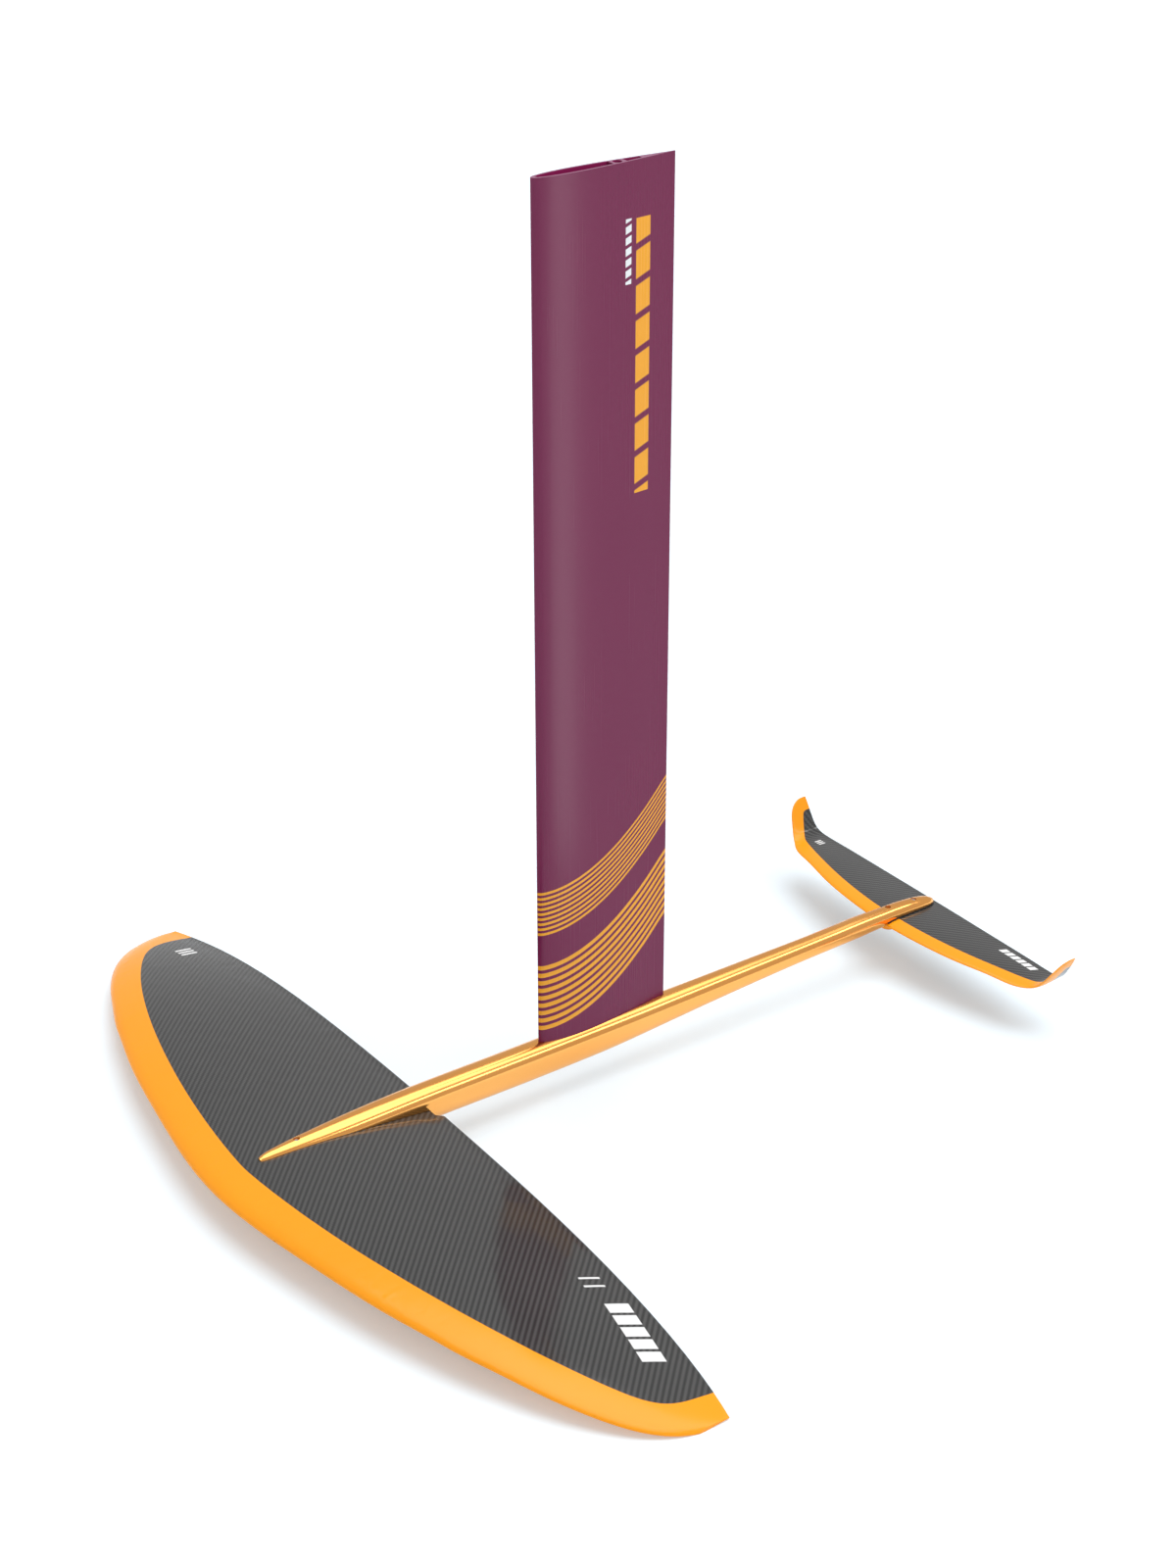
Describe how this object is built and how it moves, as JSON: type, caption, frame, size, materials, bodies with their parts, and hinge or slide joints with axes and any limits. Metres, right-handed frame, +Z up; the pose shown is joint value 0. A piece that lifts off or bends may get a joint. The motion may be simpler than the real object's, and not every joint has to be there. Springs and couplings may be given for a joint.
{
  "type": "hydrofoil mast and wing set",
  "caption": "Take-apart hydrofoil set for a board: upright foil-section mast on a slim fuselage, with a wide curved front wing and a small stabiliser with upturned tips.",
  "frame": {"origin": "top of the mast, on the axis of its screw channel, in the plane of the cut end that goes to the board", "axes": "+X forward along the fuselage, +Y to port along the front wing's span, +Z up along the mast"},
  "size_m": [0.8708, 0.9738, 0.9138],
  "materials": {
    "purple_anodised": "satin",
    "orange_anodised": "gloss",
    "bare_aluminium": "satin",
    "stainless": "satin",
    "carbon": "gloss",
    "laminate": "matte",
    "foam": "matte",
    "yellow_paint": "gloss",
    "black_plastic": "satin"
  },
  "bodies": {
    "fuselage": {"fuselage_body": "orange_anodised"},
    "mast": {"mast_extrusion": "purple_anodised", "mast_foot_block": "bare_aluminium"},
    "mast_screws": {"mast_screws": "stainless"},
    "front_wing": {"front_wing_upper_skin": "carbon", "front_wing_lower_skin": "carbon", "front_wing_port_core": "foam", "front_wing_starboard_core": "foam", "front_wing_root_block": "laminate", "front_wing_ferrules": "bare_aluminium"},
    "front_wing_screws": {"front_wing_screws": "stainless"},
    "stabiliser": {"stabiliser_upper_skin": "carbon", "stabiliser_lower_skin": "carbon", "stabiliser_port_core": "foam", "stabiliser_starboard_core": "foam", "stabiliser_root_block": "laminate", "stabiliser_root_pad": "yellow_paint", "tail_shim": "black_plastic", "stabiliser_ferrules": "bare_aluminium"},
    "stabiliser_screws": {"stabiliser_screws": "stainless"}
  },
  "joints": [
    {"name": "mast_lift", "type": "slide", "parent": "fuselage", "child": "mast", "axis": [0, 0, 1], "range_m": [0, 0.08]},
    {"name": "mast_screws_draw", "type": "slide", "parent": "fuselage", "child": "mast_screws", "axis": [0, 0, -1], "range_m": [0, 0.07]},
    {"name": "front_wing_drop", "type": "slide", "parent": "fuselage", "child": "front_wing", "axis": [0, 0, -1], "range_m": [0, 0.06]},
    {"name": "front_wing_screws_draw", "type": "slide", "parent": "front_wing", "child": "front_wing_screws", "axis": [0, 0, -1], "range_m": [0, 0.035]},
    {"name": "stabiliser_drop", "type": "slide", "parent": "fuselage", "child": "stabiliser", "axis": [0, 0, -1], "range_m": [0, 0.04]},
    {"name": "stabiliser_screws_draw", "type": "slide", "parent": "stabiliser", "child": "stabiliser_screws", "axis": [0, 0, -1], "range_m": [0, 0.025]}
  ]
}
